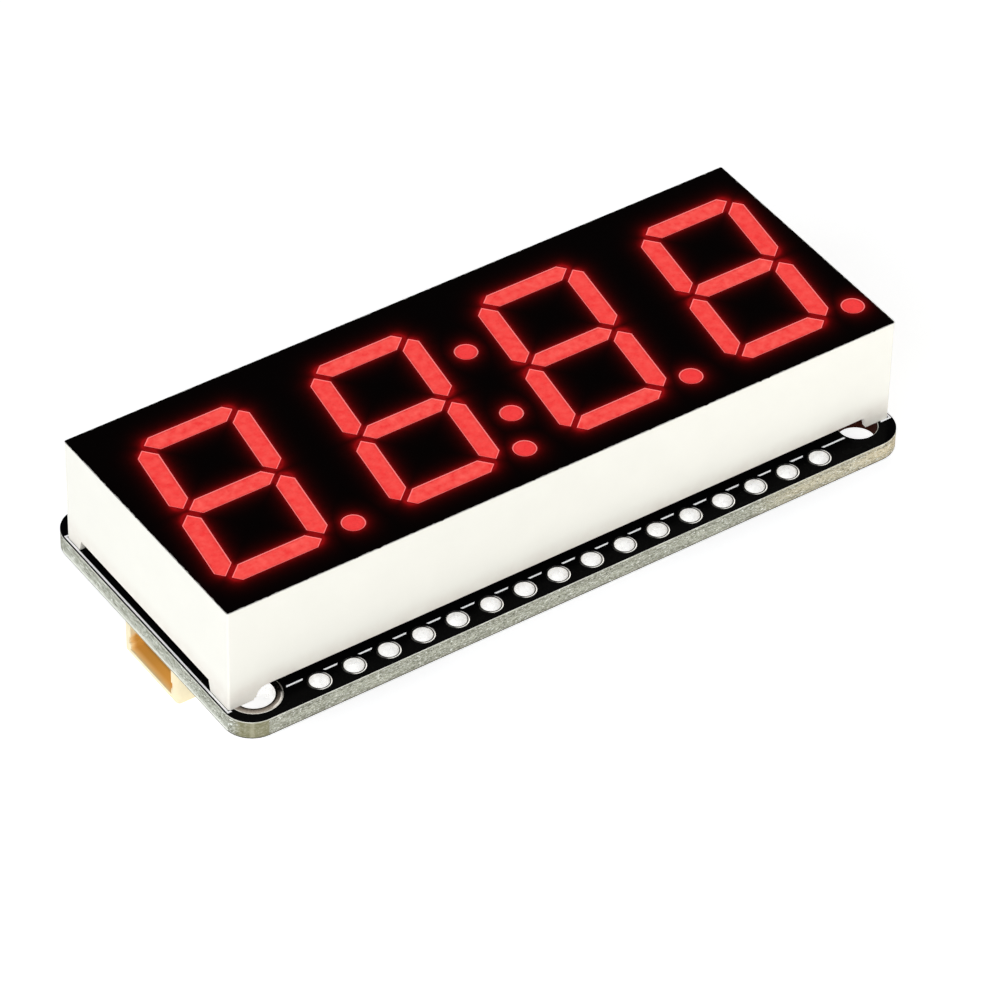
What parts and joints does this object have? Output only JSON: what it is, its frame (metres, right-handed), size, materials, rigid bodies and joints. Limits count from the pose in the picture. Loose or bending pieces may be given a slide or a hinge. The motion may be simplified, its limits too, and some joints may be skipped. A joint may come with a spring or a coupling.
{
  "type": "seven segment display module",
  "caption": "Seven segment clock display with colon and decimal points on a driver board, with header holes along both long edges, corner mounting holes and a side-entry wire connector.",
  "frame": {"origin": "middle of the board's outline, at the height of the part's lowest face, the wire connector's", "axes": "+X along the digits as they are read, +Y up the digits, +Z out of the lit face"},
  "size_m": [0.0508, 0.0228, 0.0127],
  "materials": {
    "white_plastic": "moulded satin white",
    "face_ink": "matt black ink",
    "lit_resin": "diffusing resin, lit red",
    "lamp_laminate": "bare laminate",
    "lamp_die": "polished die",
    "potting_resin": "cast resin",
    "board_laminate": "sawn and routed glass fibre laminate",
    "solder_mask": "gloss black",
    "board_print": "screen printed",
    "tin": "tinned",
    "solder": "reflowed solder",
    "connector_plastic": "moulded natural",
    "contact_metal": "tinned spring bronze",
    "chip_epoxy": "moulded epoxy",
    "capacitor_ceramic": "fired",
    "resistor_ceramic": "glazed"
  },
  "bodies": {
    "root": {"housing": "white_plastic", "face_ink": "face_ink", "digit_1": "lit_resin", "digit_2": "lit_resin", "digit_3": "lit_resin", "digit_4": "lit_resin", "decimal_points": "lit_resin", "colon_dots": "lit_resin", "lamp_board": "lamp_laminate", "lamp_chips": "lamp_die", "potting": "potting_resin", "front_pins": "tin", "rear_pins": "tin", "board_core": "board_laminate", "mask_top": "solder_mask", "mask_bottom": "solder_mask", "print_top": "board_print", "print_bottom": "board_print", "front_header_pads": "tin", "rear_header_pads": "tin", "mounting_rings": "tin", "display_pads": "tin", "display_solder": "solder", "surface_pads": "solder", "connector_shell": "connector_plastic", "connector_contacts": "contact_metal", "connector_tabs": "tin", "driver_chip": "chip_epoxy", "driver_leads": "tin", "capacitors": "capacitor_ceramic", "capacitor_ends": "tin", "resistors": "resistor_ceramic", "resistor_ends": "tin"}
  },
  "joints": []
}
